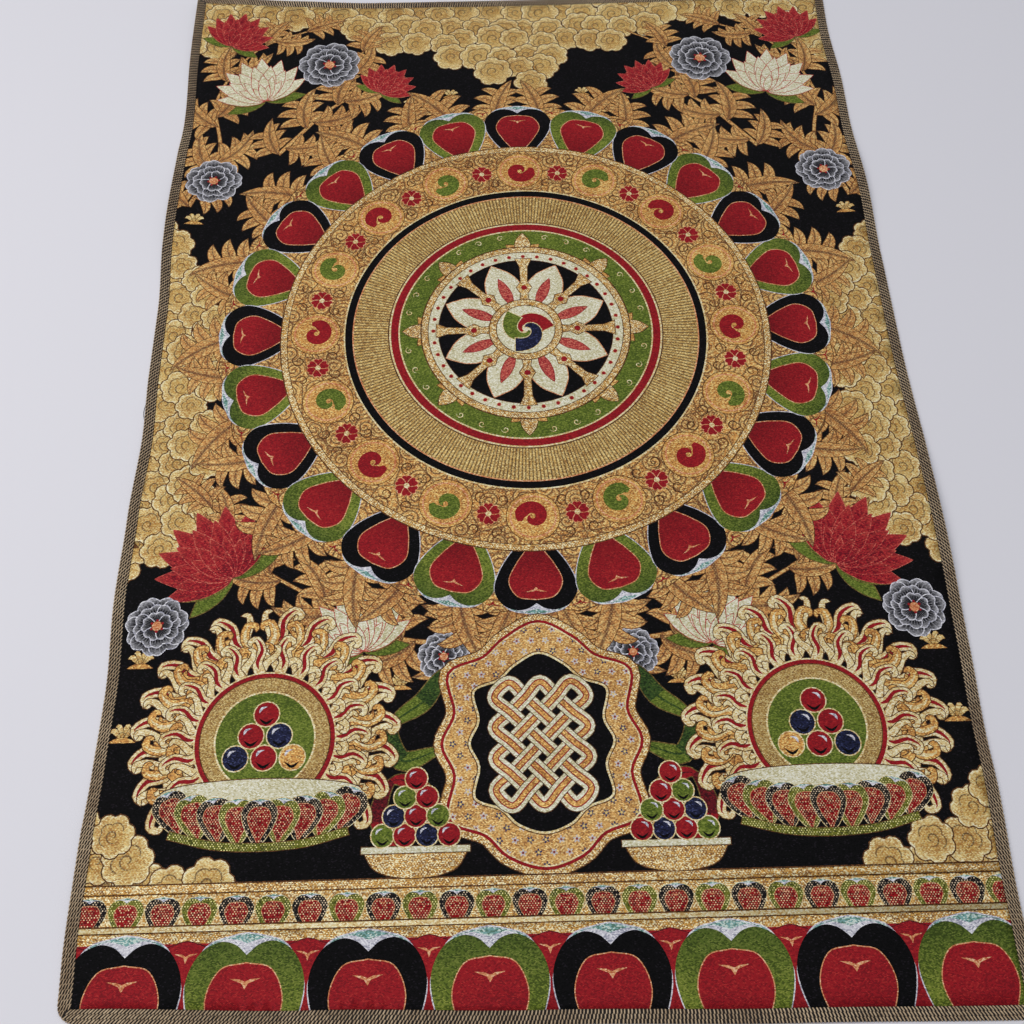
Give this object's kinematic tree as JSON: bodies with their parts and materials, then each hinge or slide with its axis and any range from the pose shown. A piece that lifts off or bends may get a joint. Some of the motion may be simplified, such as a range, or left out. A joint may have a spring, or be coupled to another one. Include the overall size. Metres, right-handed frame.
{
  "type": "thangka scroll painting",
  "caption": "Upright rectangular brocade panel with a woven ornamental picture and a thick overcast edge, lying face up.",
  "frame": {"origin": "middle of the panel's footprint, on the surface that it lies on", "axes": "+Y towards the panel's head, +X to the right seen face on, +Z out of the woven face"},
  "size_m": [0.6044, 0.908, 0.0077],
  "materials": {
    "brocade": "satin",
    "overlock_thread": "matte"
  },
  "bodies": {
    "root": {"brocade_panel": "brocade", "overlock_foot": "overlock_thread", "overlock_right": "overlock_thread", "overlock_head": "overlock_thread", "overlock_left": "overlock_thread"}
  },
  "joints": []
}
